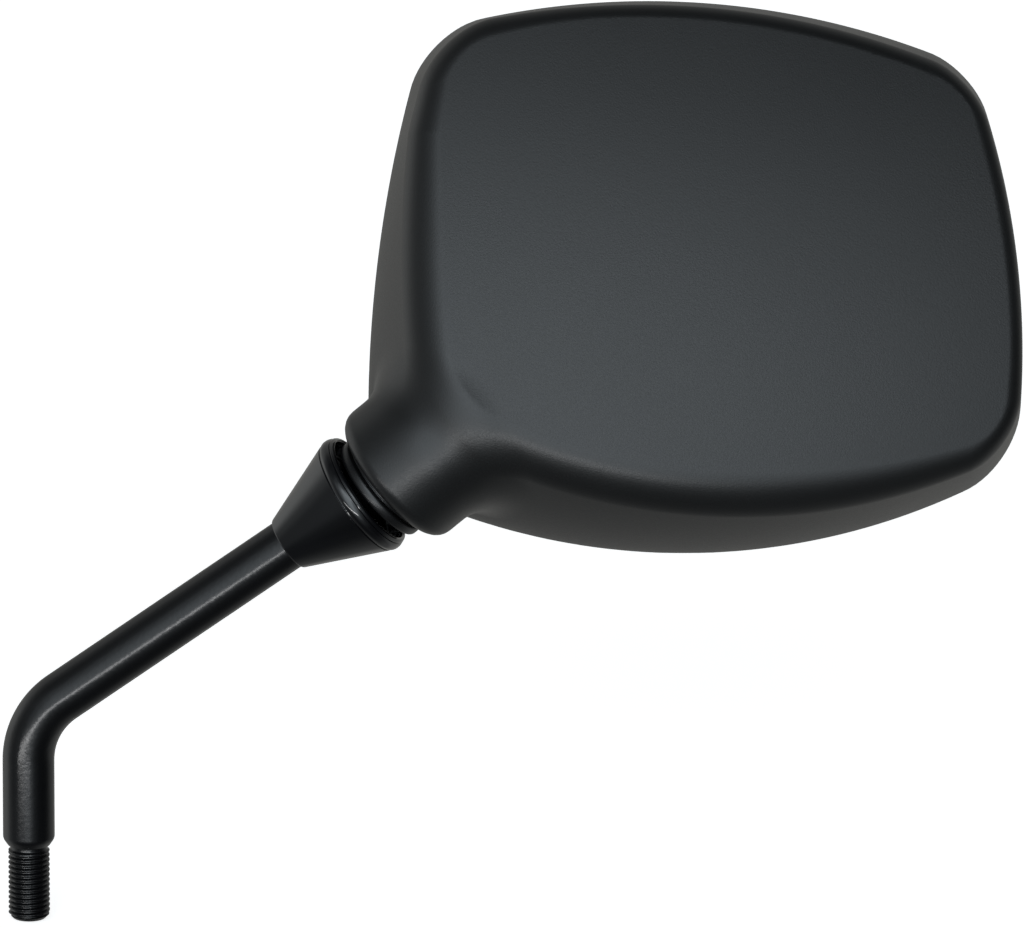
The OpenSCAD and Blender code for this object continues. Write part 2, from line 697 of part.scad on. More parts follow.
module mirror_glass() {
  color(silvered) in_head() layer(glass_set, glass_t, glass_in);
}

// Rubber frame that wraps the edge of the glass and fills the gap to the housing
module glass_gasket() {
  color(rubber) in_head() difference() {
    layer(glass_set - lip_t, glass_t + 2 * lip_t, gasket_out);
    layer(glass_set, glass_t, glass_in);
    translate([0, 0, -1]) linear_extrude(height = 50) polygon(outline(glass_edge_w, glass_in + gasket_lip));
  }
}

module adhesive_pad() {
  color(rubber) in_head() difference() {
    layer(pad_w, pad_t, pad_in);
    for (p = boss_at) translate([p[0], p[1], 0]) cylinder(r = boss_r + 1, h = 30);
  }
}

// Curved plate that the glass is stuck to, with raised ears on the housing's bosses
module glass_carrier() {
  color(plastic) in_head() difference() {
    union() {
      layer(carrier_w, carrier_t, pad_in - 1);
      for (p = boss_at) {
        foot = boss_foot(p);
        translate([p[0], p[1], foot - ear_rise - 0.5]) cylinder(r1 = boss_r + 1.4, r2 = boss_r, h = ear_rise + 0.5 - run_gap);
      }
    }
    in_neck() {
      cylinder(r = tube_r + 1, h = clamp_z + clamp_t);
      translate([0, 0, -2]) cylinder(r = neck_r + neck_flare + seat_gap, h = neck_land + 5);
    }
    for (p = boss_at) {
      foot = boss_foot(p);
      translate([p[0], p[1], 0]) cylinder(r = carrier_screw_d / 2 + 0.2, h = 40);
      translate([p[0], p[1], 0]) cylinder(r = carrier_screw_d * 1.05, h = foot - 1.9);
    }
  }
}

// Screws through the carrier's ears into the bosses
module carrier_screws() {
  shank = boss_pilot - run_gap;
  head_r = carrier_screw_d * 0.95;
  color(zinc) in_head() for (p = boss_at) translate([p[0], p[1], boss_foot(p) - 1.9]) difference() {
    rotate_extrude() polygon([
      [0, -head_sink], [head_r - 0.5, -head_sink], [head_r, 0.5 - head_sink], [head_r, 0],
      [shank, 0], [shank, boss_hole_len - 0.5], [0, boss_hole_len + 0.8]
    ]);
    translate([0, 0, -head_sink - 1]) cylinder(r = 0.9, h = 2, $fn = 6);
  }
}

arm_rod();
cone_collar();
collar_o_ring();
collar_snap_ring();
thrust_washer();
ball_screw();
ball();
socket_seat();
pressure_cup();
disc_springs();
clamp_plate();
clamp_screws();
threaded_inserts();
housing();
neck_seal();
glass_carrier();
carrier_screws();
adhesive_pad();
mirror_glass();
glass_gasket();
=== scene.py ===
"""Motorcycle mirror: materials, fine shapes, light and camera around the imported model.

Lengths are in millimetres until a mesh is made, and repeat the named values of the part's source.
"""

from math import atan2, cos, degrees, pi, radians, sin, tan

import bmesh
import bpy
import numpy as np
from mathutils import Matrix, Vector


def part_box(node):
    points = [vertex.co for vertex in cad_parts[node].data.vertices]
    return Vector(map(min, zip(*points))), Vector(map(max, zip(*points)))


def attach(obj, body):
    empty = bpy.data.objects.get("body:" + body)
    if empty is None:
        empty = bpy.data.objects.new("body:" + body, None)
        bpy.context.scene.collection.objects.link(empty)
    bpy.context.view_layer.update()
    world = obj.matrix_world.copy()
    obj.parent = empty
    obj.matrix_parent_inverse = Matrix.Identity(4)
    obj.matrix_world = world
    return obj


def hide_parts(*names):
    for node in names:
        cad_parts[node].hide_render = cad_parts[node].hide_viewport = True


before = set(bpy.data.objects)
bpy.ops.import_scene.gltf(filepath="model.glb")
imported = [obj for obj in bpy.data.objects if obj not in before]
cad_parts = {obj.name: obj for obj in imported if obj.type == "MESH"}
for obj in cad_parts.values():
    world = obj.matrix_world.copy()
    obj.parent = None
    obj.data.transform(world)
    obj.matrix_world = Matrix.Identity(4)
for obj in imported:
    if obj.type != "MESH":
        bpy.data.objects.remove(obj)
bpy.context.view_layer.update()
MM = 0.001

# Arm
ROD_R, THREAD_R, THREAD_LEN, PITCH = 6.25, 5.0, 17.0, 1.25
THREAD_DEPTH, THREAD_CHAMFER, THREAD_RUN_OUT = 0.74, 1.1, 0.9
RELIEF_W, RELIEF_R, SHOULDER_TAPER = 1.4, 4.4, 1.7
STEM_H, BEND_R, ARM_RISE, ARM_TURN, ARM_LEN = 32.7, 20.0, 36.1, -6.5, 119.5
BEND_ANGLE = 90 - ARM_RISE
BEND_RUN = BEND_R * tan(radians(BEND_ANGLE / 2))
WAIST_R, JOURNAL_R, ROD_STOP, WASHER_T, BALL_R = 4.3, 3.5, 13.2, 0.8, 9.0
RUN_GAP = 0.06
JOURNAL_END = 2.6
BALL_SCREW_R = 2.0
SNAP_DEEP, SNAP_T = 0.55, 1.0

# Collar and seal
COLLAR_LEN, COLLAR_R0, COLLAR_R1, COLLAR_WALL, COLLAR_LAND = 24.2, 6.95, 15.45, 1.8, 8.0
NECK_REACH, SEAL_PROUD, COLLAR_GAP = 12.0, 4.0, 1.0
COLLAR_FROM_BALL = NECK_REACH + SEAL_PROUD + COLLAR_GAP + COLLAR_LEN
SEAL_R, SEAL_BORE, SEAL_PLUG, SEAL_PLUG_R = 13.5, 9.2, 1.6, 11.0

# Head
BALL_AT = np.array([-64.8, -38.6, 22.0])
NECK_TURN, NECK_LIFT, HEAD_PITCH = 39.2, 14.5, 16.0
DEPTH, BACK_SLOPE, BACK_BOW, BACK_CREST = 37.0, (0.1, 0.13), (1300, 900), 10
LEAN = {"left": (9.2, -0.165, 3), "top": (1.6, 0.012, 0.8), "bottom": (12.1, -0.11, 3)}
RIGHT_LEAN, LEAN_POWER = 0.6, 1.4
NECK_R, NECK_ROUND, NECK_ROOT, NECK_SINK, NECK_BLEND = 18.4, 4.0, 33.0, 0.01, 9.0
CREASE_R, FAR_CREASE_R = 8.0, 3.0
LEFT = (310.0, 310.0 - 78.9, -30.4)
RIGHT = (193.0, 78.4 - 193.0, -14.7)
TOP = (191.0, -11.6, 69.5 - 191.0)
BOTTOM = (160.0, -3.1, 160.0 - 63.3)
CORNERS = {"top_left": 11.7, "top_right": 7.7, "bottom_right": 10.5, "neck": 16.0}
GLASS_R, GLASS_T, GLASS_SET = 1400.0, 2.5, 0.9
GASKET_OUT, GASKET_T, GASKET_LIP, LIP_T = 2.8, 1.2, 1.6, 0.7
GLASS_EDGE_W = 6.0
OUTLINE_POINTS = 360
SAME_POINT = 1e-7

# Camera: level with the photograph, and far enough away to draw almost in parallel
VIEW_EL, VIEW_DIST, FRAME_WIDTH, SENSOR = 16.0, 6.0, 0.24576, 36.0
TARGET = Vector((0.11644, 0.0, 0.09665))
TOWARDS_CAMERA = Vector((0, -cos(radians(VIEW_EL)), sin(radians(VIEW_EL))))
VIEW_UP = Vector((0, sin(radians(VIEW_EL)), cos(radians(VIEW_EL))))


def shift(x, y, z):
    m = np.eye(4)
    m[:3, 3] = (x, y, z)
    return m


def turn(axis, angle):
    c, s = cos(radians(angle)), sin(radians(angle))
    m = np.eye(4)
    i, j = {"x": (1, 2), "y": (2, 0), "z": (0, 1)}[axis]
    m[i, i] = m[j, j] = c
    m[i, j], m[j, i] = -s, s
    return m


def moved(matrix, points):
    points = np.asarray(points, float)
    return points @ matrix[:3, :3].T + matrix[:3, 3]


ARM_PLANE = turn("z", ARM_TURN)
ALONG_ARM = ARM_PLANE @ shift(0, 0, STEM_H) @ turn("y", BEND_ANGLE)
BALL_POS = moved(ALONG_ARM, [0, 0, ARM_LEN])
HEAD = shift(*BALL_POS) @ turn("x", 90 - HEAD_PITCH) @ shift(*-BALL_AT)
IN_NECK = shift(*BALL_AT) @ turn("z", NECK_TURN) @ turn("y", 90 - NECK_LIFT) @ shift(0, 0, -NECK_REACH)
NECK_DIR = IN_NECK[:3, 2]


# The head's outer surface, as in the part's source
def round_max(a, b, r):
    return np.minimum(np.maximum(a, b), -r) + np.hypot(np.maximum(a + r, 0), np.maximum(b + r, 0))


def blend_min(a, b, k):
    return np.minimum(a, b) - (np.maximum(k - abs(a - b), 0) / k) ** 2 * k / 4


def smooth_step(t):
    t = np.clip(t, 0, 1)
    return t * t * (3 - 2 * t)


def back_height(u, v):
    slope = DEPTH - BACK_SLOPE[0] * u - BACK_SLOPE[1] * v
    return slope - u * u / BACK_BOW[0] - (v + BACK_CREST) ** 2 / BACK_BOW[1]


def arc_field(u, v, bow):
    return np.hypot(u - bow[1], v - bow[2]) - bow[0]


def lean(side, x):
    """How far a side leans in at the back: a base, a change along the side, and the least."""
    base, change, least = LEAN[side]
    return np.maximum(base + change * x, least)


def side_field(p):
    u, v, w = p[..., 0], p[..., 1], p[..., 2]
    rise = (np.maximum(w, 0) / back_height(u, v)) ** LEAN_POWER
    across = np.maximum(arc_field(u, v, LEFT) + lean("left", v) * rise,
                        arc_field(u, v, RIGHT) + RIGHT_LEAN * rise)
    up = np.maximum(arc_field(u, v, TOP) + lean("top", u) * rise,
                    arc_field(u, v, BOTTOM) + lean("bottom", u) * rise)
    low = np.where(u < 0, CORNERS["neck"], CORNERS["bottom_right"])
    high = np.where(u < 0, CORNERS["top_left"], CORNERS["top_right"])
    return round_max(across, up, np.where(v < 0, low, high))


def body_field(p):
    u, v = p[..., 0], p[..., 1]
    edge = FAR_CREASE_R + (CREASE_R - FAR_CREASE_R) * smooth_step((40 - 0.62 * u - 0.78 * v) / 70)
    return round_max(side_field(p), p[..., 2] - back_height(u, v), edge)


def outer_field(p):
    q = p - BALL_AT
    reach = q @ NECK_DIR
    along = reach + NECK_REACH
    out = np.linalg.norm(q - reach[..., None] * NECK_DIR, axis=-1) + NECK_SINK * np.maximum(reach, 0) ** 2
    neck = round_max(round_max(out - NECK_R, -along, NECK_ROUND), along - NECK_ROOT, 8)
    return blend_min(body_field(p), neck, 1 + (NECK_BLEND - 1) * smooth_step(along / 14))


def gradient(p, e=0.02):
    g = np.stack([outer_field(p + d) - outer_field(p - d) for d in np.eye(3) * e], -1) / (2 * e)
    return g / np.maximum(np.linalg.norm(g, axis=-1, keepdims=True), 1e-9)


# Materials
def material(name, color, rough, metallic=0.0, grain=(2500, 0.1), uneven=(60, 0.15), coat=0.0, sheen=0.0):
    """A shader with fine grain in its relief, and with uneven colour and gloss at a larger scale.

    grain and uneven are each a scale and a strength.
    """
    m = bpy.data.materials.new(name)
    m.use_nodes = True
    m.diffuse_color = (*color, 1)
    nodes, links = m.node_tree.nodes, m.node_tree.links
    shader = nodes["Principled BSDF"]
    shader.inputs["Metallic"].default_value = metallic
    shader.inputs["IOR"].default_value = 1.5
    shader.inputs["Coat Weight"].default_value = coat
    shader.inputs["Coat Roughness"].default_value = 0.06
    shader.inputs["Sheen Weight"].default_value = sheen
    place = nodes.new("ShaderNodeTexCoord").outputs["Object"]

    def noise(scale, detail):
        n = nodes.new("ShaderNodeTexNoise")
        n.inputs["Scale"].default_value = scale
        n.inputs["Detail"].default_value = detail
        links.new(place, n.inputs["Vector"])
        return n.outputs["Fac"]

    def ranged(value, low, high):
        r = nodes.new("ShaderNodeMapRange")
        r.inputs["From Min"].default_value = 0.3
        r.inputs["From Max"].default_value = 0.7
        r.inputs["To Min"].default_value = low
        r.inputs["To Max"].default_value = high
        links.new(value, r.inputs["Value"])
        return r.outputs["Result"]

    cloud = noise(uneven[0], 4)
    mix = nodes.new("ShaderNodeMix")
    mix.data_type = "RGBA"
    mix.inputs["A"].default_value = (*[c * (1 - uneven[1]) for c in color], 1)
    mix.inputs["B"].default_value = (*[min(c * (1 + uneven[1]), 1) for c in color], 1)
    links.new(ranged(cloud, 0, 1), mix.inputs["Factor"])
    links.new(mix.outputs["Result"], shader.inputs["Base Color"])
    fine = noise(grain[0], 3)
    both = nodes.new("ShaderNodeMath")
    both.operation = "ADD"
    links.new(ranged(cloud, rough * (1 - 0.5 * uneven[1]), rough * (1 + 0.5 * uneven[1])), both.inputs[0])
    links.new(ranged(fine, -0.12 * rough, 0.12 * rough), both.inputs[1])
    links.new(both.outputs["Value"], shader.inputs["Roughness"])
    bump = nodes.new("ShaderNodeBump")
    bump.inputs["Strength"].default_value = grain[1]
    bump.inputs["Distance"].default_value = 0.3 / grain[0]
    links.new(fine, bump.inputs["Height"])
    links.new(bump.outputs["Normal"], shader.inputs["Normal"])
    return m


SHELL = material("moulded_black", (0.010, 0.0102, 0.0104), 0.34, grain=(2600, 0.25), uneven=(25, 0.06))
RIB = material("moulded_inside", (0.035, 0.035, 0.036), 0.55, grain=(2200, 0.3))
POWDER = material("satin_black_steel", (0.004, 0.0041, 0.0046), 0.19, grain=(900, 0.08), uneven=(40, 0.12))
GLOSS = material("gloss_black", (0.003, 0.0032, 0.004), 0.09, grain=(500, 0.03), uneven=(50, 0.2), coat=0.4)
RUBBER = material("black_rubber", (0.007, 0.007, 0.0075), 0.30, grain=(3000, 0.2), uneven=(80, 0.15))
SOFT_RUBBER = material("gasket_rubber", (0.014, 0.014, 0.014), 0.55, grain=(3000, 0.3), uneven=(80, 0.15))
FOAM = material("foam_tape", (0.045, 0.045, 0.045), 0.9, grain=(1600, 0.8), uneven=(300, 0.2), sheen=0.2)
ZINC = material("zinc_plate", (0.60, 0.60, 0.58), 0.30, 1.0, grain=(1500, 0.1), uneven=(120, 0.08))
TURNED = material("turned_steel", (0.56, 0.56, 0.55), 0.22, 1.0, grain=(2200, 0.12), uneven=(90, 0.06))
PHOSPHATE = material("phosphated_steel", (0.12, 0.118, 0.112), 0.45, 0.9, grain=(1800, 0.2),
                     uneven=(200, 0.2))
BRASS = material("machined_brass", (0.74, 0.55, 0.24), 0.25, 1.0, grain=(1800, 0.12), uneven=(150, 0.08))
ACETAL = material("natural_acetal", (0.78, 0.77, 0.72), 0.38, grain=(1200, 0.1), uneven=(60, 0.03))
SILVER = material("silvered_glass", (0.90, 0.92, 0.93), 0.015, 1.0, grain=(200, 0.002), uneven=(12, 0.01),
                  coat=1.0)

for cad_node, finish in {
    "collar_o_ring": RUBBER, "collar_snap_ring": ZINC, "thrust_washer": ACETAL, "ball_screw": ZINC,
    "ball": TURNED, "socket_seat": ACETAL, "pressure_cup": ACETAL, "disc_springs": PHOSPHATE,
    "clamp_plate": ZINC, "clamp_screws": ZINC, "threaded_inserts": BRASS, "glass_carrier": RIB,
    "carrier_screws": ZINC, "adhesive_pad": FOAM,
}.items():
    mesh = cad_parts[cad_node].data
    mesh.materials.clear()
    mesh.materials.append(finish)


# Meshes
def add_object(name, data):
    obj = bpy.data.objects.new(name, data)
    bpy.context.scene.collection.objects.link(obj)
    return obj


def stand_in(name, mesh, body, node):
    """An object that rides on a body and stands for a node of the frame."""
    obj = add_object(name, mesh)
    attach(obj, body)
    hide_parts(node)


def piece(name, points, faces, matrix, body, finish, node, angle=30):
    """A mesh from points in millimetres, smooth but for edges sharper than the angle, in place of a node."""
    mesh = bpy.data.meshes.new(name)
    mesh.from_pydata((moved(matrix, points) * MM).tolist(), [], faces)
    bm = bmesh.new()
    bm.from_mesh(mesh)
    bmesh.ops.remove_doubles(bm, verts=bm.verts, dist=SAME_POINT)
    bmesh.ops.recalc_face_normals(bm, faces=bm.faces)
    bm.to_mesh(mesh)
    bm.free()
    mesh.materials.append(finish)
    mesh.polygons.foreach_set("use_smooth", [True] * len(mesh.polygons))
    mesh.set_sharp_from_angle(angle=radians(angle))
    stand_in(name, mesh, body, node)


def bent(points, n=5):
    """A closed profile whose corners (x, y, reach) are rounded over their reach, in n steps."""
    out = []
    for i, (x, y, reach) in enumerate(points):
        p = np.array([x, y])
        if reach == 0:
            out.append(p)
            continue
        ends = []
        for q in (points[i - 1], points[(i + 1) % len(points)]):
            way = np.array(q[:2]) - p
            ends.append(p + way * min(reach / np.linalg.norm(way), 0.49))
        for k in range(n + 1):
            s = k / n
            out.append((1 - s) ** 2 * ends[0] + 2 * s * (1 - s) * p + s * s * ends[1])
    return out


def loops_to_faces(rings, count, closed):
    """Quads between neighbouring rings of count points; closed joins the last ring to the first."""
    faces = []
    for i in range(rings if closed else rings - 1):
        a, b = i * count, (i + 1) % rings * count
        for j in range(count):
            k = (j + 1) % count
            faces.append((a + j, a + k, b + k, b + j))
    return faces


def lathe(profile, segments):
    """A ring-shaped solid from a closed profile (radius, height)."""
    angles = np.linspace(0, 2 * pi, segments, endpoint=False)
    points = [(r * cos(a), r * sin(a), z) for r, z in profile for a in angles]
    return points, loops_to_faces(len(profile), segments, True)


def thread_radius(z, a):
    """Radius of the rolled thread at the height z and the angle a, run out at both ends."""
    phase = (z / PITCH - a / (2 * pi)) % 1
    ridge = min(max(abs(2 * phase - 1) * 1.35 - 0.2, 0), 1)
    ridge = ridge * ridge * (3 - 2 * ridge)
    top = min(max((0.1 - z) / THREAD_RUN_OUT, 0), 1)
    tip = THREAD_R - max(THREAD_CHAMFER - (z + THREAD_LEN), 0)
    return min(THREAD_R - THREAD_DEPTH * (1 - ridge) * top, tip)


def rod():
    """The rod as rings along its middle line, from the thread's end up to the hole for the ball's screw."""
    segments, thread_rings, bend_rings, screw_depth = 96, 205, 32, 8
    groove = ARM_LEN - COLLAR_FROM_BALL + COLLAR_LAND + RUN_GAP
    groove_end = groove + SNAP_T + RUN_GAP
    stop = ARM_LEN - ROD_STOP
    waist_end = ARM_LEN - (BALL_R - 1.1) - 2 * RUN_GAP - WASHER_T
    end = ARM_LEN + JOURNAL_END
    rings = []

    def ring(centre, tilt, radius):
        e1 = np.array([cos(tilt), 0, -sin(tilt)])
        e2 = np.array([0, 1, 0])
        for k in range(segments):
            a = 2 * pi * k / segments
            r = radius(a) if callable(radius) else radius
            rings.append(centre + r * (cos(a) * e1 + sin(a) * e2))

    def upright(z, radius):
        ring(np.array([0, 0, z]), 0, radius)

    def upper(s, radius):
        t = radians(BEND_ANGLE)
        ring(np.array([s * sin(t), 0, STEM_H + s * cos(t)]), t, radius)

    upright(-THREAD_LEN, 0)
    for z in np.linspace(-THREAD_LEN, 0, thread_rings):
        upright(z, lambda a, z=z: thread_radius(z, a))
    for r, z in bent([(THREAD_R, 0, 0.1), (RELIEF_R, 0.42, 0.15), (RELIEF_R, RELIEF_W, 0.15),
                      (THREAD_R + 0.1, RELIEF_W, 0.12), (ROD_R, RELIEF_W + SHOULDER_TAPER, 0.7),
                      (ROD_R, STEM_H - BEND_RUN, 0)])[3:]:
        upright(z, r)
    for k in range(1, bend_rings + 1):
        t = radians(BEND_ANGLE) * k / bend_rings
        ring(np.array([BEND_R * (1 - cos(t)), 0, STEM_H - BEND_RUN + BEND_R * sin(t)]), t, ROD_R)
    for r, s in ((ROD_R, groove), (ROD_R - SNAP_DEEP, groove), (ROD_R - SNAP_DEEP, groove_end),
                 (ROD_R, groove_end), (ROD_R, stop - 0.6), (ROD_R - 0.6, stop), (WAIST_R, stop),
                 (WAIST_R, waist_end), (JOURNAL_R, waist_end), (JOURNAL_R, end), (BALL_SCREW_R, end),
                 (BALL_SCREW_R, end - screw_depth), (0, end - screw_depth)):
        upper(s, r)
    return rings, loops_to_faces(len(rings) // segments, segments, False)


points, faces = rod()
piece("arm_rod_fine", points, faces, ARM_PLANE, "arm", POWDER, "arm_rod", 40)

# Collar: hollow cone, its lip a rounded band between two fine lines
bore, mouth = ROD_R + RUN_GAP, COLLAR_R1 - COLLAR_WALL
slope_end = COLLAR_LEN - 4.2
points, faces = lathe(bent([
    (bore, 0.25, 0), (bore + 0.25, 0, 0), (COLLAR_R0 - 0.2, 0, 0.1), (COLLAR_R0, 0.25, 0.1),
    (COLLAR_R1 - 0.5, slope_end + 0.1, 0.05), (COLLAR_R1 - 0.75, slope_end + 0.24, 0),
    (COLLAR_R1 - 0.75, slope_end + 0.38, 0), (COLLAR_R1 - 0.4, slope_end + 0.5, 0.1),
    (COLLAR_R1, slope_end + 1.2, 0.6), (COLLAR_R1, slope_end + 2.3, 0.6),
    (COLLAR_R1 - 0.35, slope_end + 3.1, 0.1), (COLLAR_R1 - 0.7, slope_end + 3.2, 0),
    (COLLAR_R1 - 0.7, slope_end + 3.34, 0), (COLLAR_R1 - 0.5, slope_end + 3.45, 0.06),
    (COLLAR_R1 - 0.75, slope_end + 4.0, 0.3), (COLLAR_R1 - 1.3, COLLAR_LEN, 0.2),
    (mouth + 0.2, COLLAR_LEN, 0.15), (mouth, COLLAR_LEN - 0.3, 0.15), (mouth - 0.1, slope_end, 0.3),
    (mouth - 0.5, slope_end - 0.4, 0.3), (8.35, COLLAR_LAND + 0.4, 0.2), (7.95, COLLAR_LAND, 0.1),
    (bore, COLLAR_LAND, 0.1), (bore, 6.2, 0), (bore + 1.1, 6.2, 0), (bore + 1.1, 4.6, 0), (bore, 4.6, 0),
], 6), 192)
piece("cone_collar_fine", points, faces, ALONG_ARM @ shift(0, 0, ARM_LEN - COLLAR_FROM_BALL), "arm", GLOSS,
      "cone_collar", 35)

# Neck seal: a round bead, a groove and a thin flange
points, faces = lathe(bent([
    (SEAL_BORE, SEAL_PLUG - 0.1, 0), (SEAL_BORE, -SEAL_PROUD + 0.3, 0), (SEAL_BORE + 0.3, -SEAL_PROUD, 0.2),
    (SEAL_R, -SEAL_PROUD, 1.1), (SEAL_R, -1.4, 1.0), (SEAL_R - 1.7, -1.4, 0.15), (SEAL_R - 1.7, -0.8, 0.1),
    (SEAL_R - 0.2, -0.8, 0.25), (SEAL_R - 0.2, 0, 0.1), (SEAL_PLUG_R - RUN_GAP, 0, 0),
    (SEAL_PLUG_R - RUN_GAP, SEAL_PLUG - 0.1, 0),
], 6), 160)
piece("neck_seal_fine", points, faces, HEAD @ IN_NECK, "head", RUBBER, "neck_seal", 40)

NECK_AZ = degrees(atan2(BALL_AT[1], BALL_AT[0])) + 360
OUTLINE_AZ = np.linspace(0, 360, OUTLINE_POINTS, endpoint=False)


def outline(inset):
    """Points round the head at the height of the glass's edge, a distance in from the side."""
    a = np.radians(OUTLINE_AZ)
    start = 0.8 * smooth_step((85 - abs(OUTLINE_AZ - NECK_AZ)) / 50)[:, None] * BALL_AT[:2]
    way = np.stack([np.cos(a), np.sin(a)], -1)
    low, high = np.zeros(len(a)), np.full(len(a), 110.0)
    for _ in range(30):
        middle = (low + high) / 2
        flat = start + middle[:, None] * way
        inside = side_field(np.concatenate([flat, np.full((len(a), 1), GLASS_EDGE_W)], 1)) < -inset
        low, high = np.where(inside, middle, low), np.where(inside, high, middle)
    return start + ((low + high) / 2)[:, None] * way


def on_sphere(flat, w):
    """Points over flat ones, on a surface parallel to the convex glass at the height w in its middle."""
    return np.concatenate([flat, (w + (flat ** 2).sum(1) / (2 * GLASS_R))[:, None]], 1)


# Convex glass: ground edge, then rings across the front and the back
glass_in = GASKET_OUT + GASKET_T
grind = 0.25
edge = outline(glass_in)
edge_in = outline(glass_in + grind)
steps = [1, 0.97, 0.92, 0.85, 0.76, 0.66, 0.56, 0.46, 0.36, 0.27, 0.18, 0.09, 0]
front = [on_sphere(edge_in * s, GLASS_SET) for s in steps]
back = [on_sphere(edge_in * s, GLASS_SET + GLASS_T) for s in steps]
ground = [on_sphere(edge, GLASS_SET + grind), on_sphere(edge, GLASS_SET + GLASS_T - grind)]
rings = front[::-1] + ground + back
faces = loops_to_faces(len(rings), OUTLINE_POINTS, False)
piece("mirror_glass_fine", np.concatenate(rings), faces, HEAD, "head", SILVER, "mirror_glass", 25)

# Gasket: a rounded channel swept round the edge of the glass
lip = glass_in + GASKET_LIP
section = bent([
    (GASKET_OUT, -LIP_T, 0.5), (lip, -LIP_T, 0.35), (lip, 0, 0.05), (glass_in, 0, 0),
    (glass_in, GLASS_T, 0), (lip, GLASS_T, 0.05), (lip, GLASS_T + LIP_T, 0.35),
    (GASKET_OUT, GLASS_T + LIP_T, 0.5),
], 4)
rings = [on_sphere(outline(inset), GLASS_SET + w) for inset, w in section]
faces = loops_to_faces(len(rings), OUTLINE_POINTS, True)
piece("glass_gasket_fine", np.concatenate(rings), faces, HEAD, "head", SOFT_RUBBER, "glass_gasket", 40)

# The housing's skin: how near its corners are to the smooth surface, how high above the rim it starts,
# where its crease lies inside the side and the back, and the shortest edge that is kept
SKIN_REACH, RIM_TOP = 1.1, 0.3
CREASE_MIDDLE, CREASE_REACH = (4, 3), 7
SHORTEST, RELAX_PASSES = 0.3, 8


def housing():
    """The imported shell, its outer skin divided and laid on the smooth surface that the source describes."""
    into_head = np.linalg.inv(HEAD)
    low, high = (np.array(c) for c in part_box("housing"))
    bm = bmesh.new()
    bm.from_mesh(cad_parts["housing"].data)
    bmesh.ops.remove_doubles(bm, verts=bm.verts, dist=SAME_POINT)

    def all_points():
        return moved(into_head, np.array([v.co for v in bm.verts], float) / MM)

    def skin_faces(points):
        bm.verts.index_update()
        near = (abs(outer_field(points)) < SKIN_REACH) & (points[:, 2] > RIM_TOP)
        return [f for f in bm.faces if all(near[v.index] for v in f.verts)]

    def crease_faces(points):
        """Faces of the skin on the rounding between the sides and the back."""
        from_back = points[:, 2] - back_height(points[:, 0], points[:, 1]) + CREASE_MIDDLE[1]
        from_side = side_field(points) + CREASE_MIDDLE[0]
        near = np.maximum(abs(from_side), abs(from_back)) < CREASE_REACH
        return [f for f in skin_faces(points) if any(near[v.index] for v in f.verts)]

    def lay():
        """Moves the skin's corners on to the smooth surface."""
        points = all_points()
        used = np.array(sorted({v.index for f in skin_faces(points) for v in f.verts}))
        laid = points[used]
        for _ in range(4):
            laid = laid - outer_field(laid)[:, None] * gradient(laid)
        points[used] = laid
        world = np.clip(moved(HEAD, points) * MM, low, high)
        for v, co in zip(bm.verts, world):
            v.co = co
        return all_points()

    for longest, pick in ((5.0, skin_faces), (2.6, skin_faces), (1.3, crease_faces), (1.0, crease_faces)):
        edges = {e for f in pick(all_points()) for e in f.edges if e.calc_length() > longest * MM}
        bmesh.ops.subdivide_edges(bm, edges=list(edges), cuts=1, use_grid_fill=True)
        bmesh.ops.triangulate(bm, faces=[f for f in bm.faces if len(f.verts) > 4])
        lay()
        edges = {e for f in skin_faces(all_points()) for e in f.edges if e.calc_length() < SHORTEST * MM}
        bmesh.ops.collapse(bm, edges=list(edges))
    bmesh.ops.triangulate(bm, faces=skin_faces(all_points()))
    inner = {e for f in skin_faces(all_points()) for e in f.edges if len(e.link_faces) == 2}
    bmesh.ops.beautify_fill(bm, faces=skin_faces(all_points()), edges=list(inner))
    # Corners moved to the middle of their neighbours unfold the skin where it is folded at the crease
    for _ in range(RELAX_PASSES):
        skin = set(skin_faces(all_points()))
        loose = {v for f in crease_faces(all_points()) for v in f.verts if skin.issuperset(v.link_faces)}
        bmesh.ops.smooth_vert(bm, verts=list(loose), factor=0.6, use_axis_x=True, use_axis_y=True,
                              use_axis_z=True)
        points = lay()
    skin = skin_faces(points)
    for f in bm.faces:
        f.smooth = True
        f.material_index = 1
    for f in skin:
        f.material_index = 0
    mesh = bpy.data.meshes.new("housing_fine")
    bm.to_mesh(mesh)
    bm.free()
    mesh.materials.append(SHELL)
    mesh.materials.append(RIB)
    mesh.set_sharp_from_angle(angle=radians(30))
    normals = np.array([c.vector for c in mesh.corner_normals], float)
    points = moved(into_head, np.array([v.co for v in mesh.vertices], float) / MM)
    smooth = gradient(points) @ HEAD[:3, :3].T
    for f in mesh.polygons:
        if f.material_index == 0:
            for k in f.loop_indices:
                normals[k] = smooth[mesh.loops[k].vertex_index]
    mesh.normals_split_custom_set(normals.tolist())
    stand_in("housing_fine", mesh, "head", "housing")


housing()


def camera_switch(tree, elsewhere, seen, kind):
    """Gives the output one shader for rays from the camera, and another for all the other rays."""
    path = tree.nodes.new("ShaderNodeLightPath")
    choose = tree.nodes.new("ShaderNodeMixShader")
    tree.links.new(path.outputs["Is Camera Ray"], choose.inputs[0])
    tree.links.new(elsewhere.outputs[0], choose.inputs[1])
    tree.links.new(seen.outputs[0], choose.inputs[2])
    tree.links.new(choose.outputs[0], tree.nodes.new(kind).inputs["Surface"])


